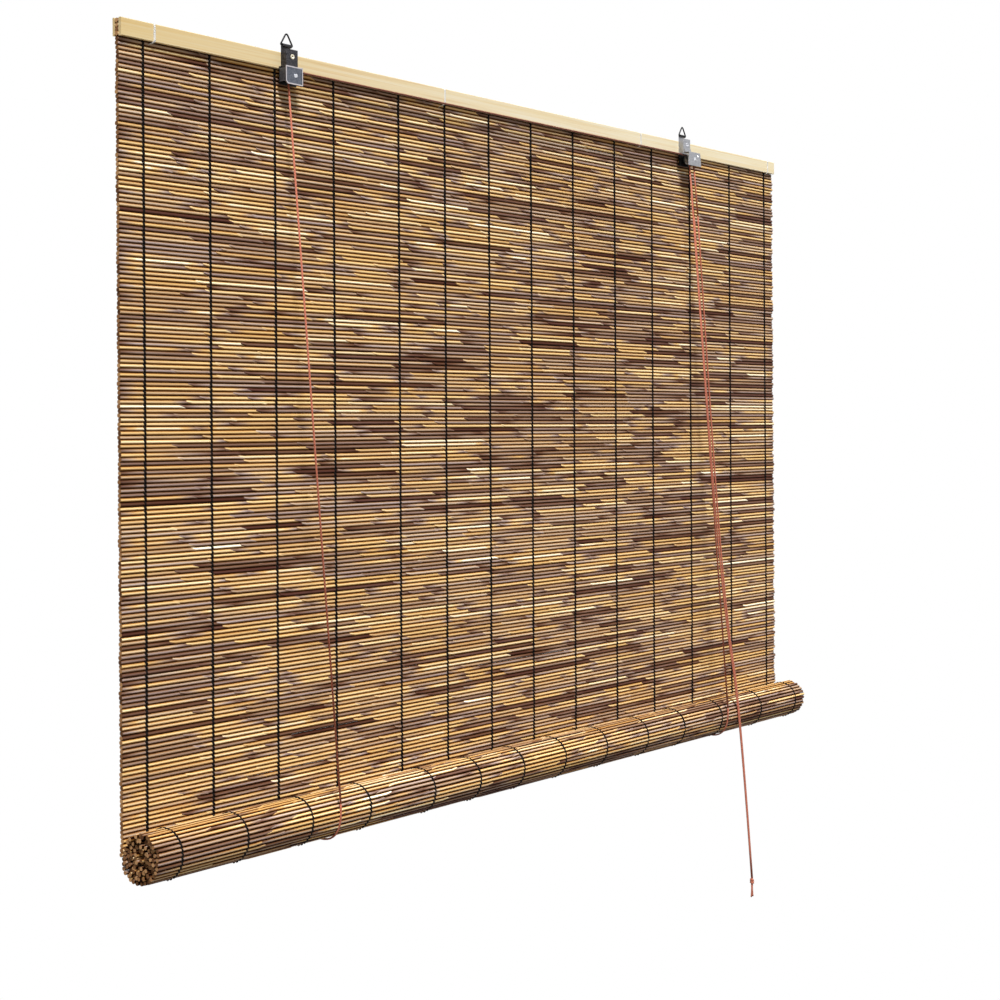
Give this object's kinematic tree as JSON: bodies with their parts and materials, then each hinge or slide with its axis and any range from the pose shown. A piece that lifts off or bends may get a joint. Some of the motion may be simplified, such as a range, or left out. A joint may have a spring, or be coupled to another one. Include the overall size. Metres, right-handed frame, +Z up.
{
  "type": "roll-up blind",
  "caption": "Reed roll-up blind with a slatted head rail, woven mat, rolled-up lower part, hanging rings, corded pulleys and a cord lock.",
  "frame": {"origin": "midway between the two places where the hooks bear in the hanging rings", "axes": "+X along the head rail to the side with the pull cords, +Y towards the wall, +Z up"},
  "size_m": [1.5, 0.081, 1.2333],
  "materials": {
    "slat_wood": "satin, planed and clear coated",
    "reed_bamboo": "semi-gloss, stained",
    "warp_black": "twisted cotton, matte",
    "tie_white": "waxed thread, matte",
    "cord_rust": "braided, matte",
    "bracket_gunmetal": "dark plated, satin",
    "bracket_zinc": "zinc plated, semi-gloss",
    "plate_steel": "plated, pressed rim polished",
    "ring_steel": "zinc plated wire",
    "eyelet_brass": "rolled, semi-gloss",
    "screw_steel": "zinc plated",
    "rivet_chrome": "polished dome",
    "pulley_metal": "turned, satin"
  },
  "bodies": {
    "headrail": {"head_slat_front": "slat_wood", "head_slat_back": "slat_wood", "rail_reeds": "reed_bamboo", "slat_tie_1": "tie_white", "slat_tie_2": "tie_white", "slat_tie_3": "tie_white", "slat_tie_4": "tie_white", "bracket_left": "bracket_gunmetal", "bracket_right": "bracket_zinc", "cheek_plate_left": "plate_steel", "cheek_plate_right": "bracket_zinc", "eyelet_left": "eyelet_brass", "eyelet_right": "eyelet_brass", "bracket_screw_left": "screw_steel", "bracket_screw_right": "screw_steel", "axle_rivet_left": "rivet_chrome", "axle_rivet_right": "rivet_chrome", "lock_pin": "rivet_chrome", "cross_cord": "cord_rust", "lock_cord": "cord_rust", "hanging_reeds": "reed_bamboo", "warp_thread_01": "warp_black", "warp_thread_02": "warp_black", "warp_thread_03": "warp_black", "warp_thread_04": "warp_black", "warp_thread_05": "warp_black", "warp_thread_06": "warp_black", "warp_thread_07": "warp_black", "warp_thread_08": "warp_black", "warp_thread_09": "warp_black", "warp_thread_10": "warp_black", "warp_thread_11": "warp_black", "warp_thread_12": "warp_black", "warp_thread_13": "warp_black", "warp_thread_14": "warp_black", "lift_cord_left_back": "cord_rust", "lift_cord_left_front": "cord_rust", "lift_cord_right_back": "cord_rust", "lift_cord_right_front": "cord_rust"},
    "ring_left": {"hanging_ring_left": "ring_steel"},
    "ring_right": {"hanging_ring_right": "ring_steel"},
    "wheel_left": {"pulley_left": "pulley_metal"},
    "wheel_right_rear": {"pulley_right_rear": "pulley_metal"},
    "wheel_right_front": {"pulley_right_front": "pulley_metal"},
    "cam": {"lock_cam": "pulley_metal"},
    "lift_cradle": {"lift_loop_left": "cord_rust", "lift_loop_right": "cord_rust"},
    "roll": {"reed_roll": "reed_bamboo", "roll_warp_threads": "warp_black"},
    "pull_line": {"pull_cord_left": "cord_rust", "pull_cord_right": "cord_rust"},
    "pull_end": {"pull_knot": "cord_rust"}
  },
  "joints": [
    {"name": "roll_lift", "type": "slide", "parent": "headrail", "child": "lift_cradle", "axis": [0, 0, 1], "range_m": [0, 0.76], "deforming": ["hanging_reeds", "warp_thread_01", "warp_thread_02", "warp_thread_03", "warp_thread_04", "warp_thread_05", "warp_thread_06", "warp_thread_07", "warp_thread_08", "warp_thread_09", "warp_thread_10", "warp_thread_11", "warp_thread_12", "warp_thread_13", "warp_thread_14", "lift_cord_left_back", "lift_cord_left_front", "lift_cord_right_back", "lift_cord_right_front"]},
    {"name": "roll_spin", "type": "hinge", "parent": "lift_cradle", "child": "roll", "pos_m": [0, -0.0184, -0.93768], "axis": [1, 0, 0], "range_deg": [-1575, 0]},
    {"name": "wheel_left_spin", "type": "hinge", "parent": "headrail", "child": "wheel_left", "pos_m": [-0.48045, -0.00335, -0.04818], "axis": [0, 1, 0], "range_deg": [0, 13400]},
    {"name": "wheel_right_rear_spin", "type": "hinge", "parent": "headrail", "child": "wheel_right_rear", "pos_m": [0.44985, -0.00335, -0.04818], "axis": [0, 1, 0], "range_deg": [0, 13400]},
    {"name": "wheel_right_front_spin", "type": "hinge", "parent": "headrail", "child": "wheel_right_front", "pos_m": [0.44985, -0.01085, -0.04818], "axis": [0, 1, 0], "range_deg": [0, 13400]},
    {"name": "cord_forward", "type": "slide", "parent": "headrail", "child": "pull_line", "axis": [0, -1, 0], "range_m": [0, 0.034]},
    {"name": "cord_pull", "type": "slide", "parent": "pull_line", "child": "pull_end", "axis": [0, 0, -1], "range_m": [0, 1.5201], "deforming": ["pull_cord_left", "pull_cord_right"]},
    {"name": "cam_swing", "type": "hinge", "parent": "headrail", "child": "cam", "pos_m": [0.46015, -0.01085, -0.04368], "axis": [0, 1, 0], "range_deg": [-20, 0]},
    {"name": "ring_left_swing", "type": "hinge", "parent": "headrail", "child": "ring_left", "pos_m": [-0.48645, 0, -0.01208], "axis": [1, 0, 0], "range_deg": [-115, 115]},
    {"name": "ring_right_swing", "type": "hinge", "parent": "headrail", "child": "ring_right", "pos_m": [0.43905, 0, -0.01208], "axis": [1, 0, 0], "range_deg": [-115, 115]}
  ],
  "couplings": [
    {"joint": "roll_spin", "follows": "roll_lift", "rad_per_m": -36.101},
    {"joint": "wheel_left_spin", "follows": "roll_lift", "rad_per_m": 307.69},
    {"joint": "wheel_right_rear_spin", "follows": "roll_lift", "rad_per_m": 307.69},
    {"joint": "wheel_right_front_spin", "follows": "roll_lift", "rad_per_m": 307.69},
    {"joint": "cord_forward", "follows": "roll_lift", "ratio": 0.0445},
    {"joint": "cord_pull", "follows": "roll_lift", "ratio": 2}
  ]
}
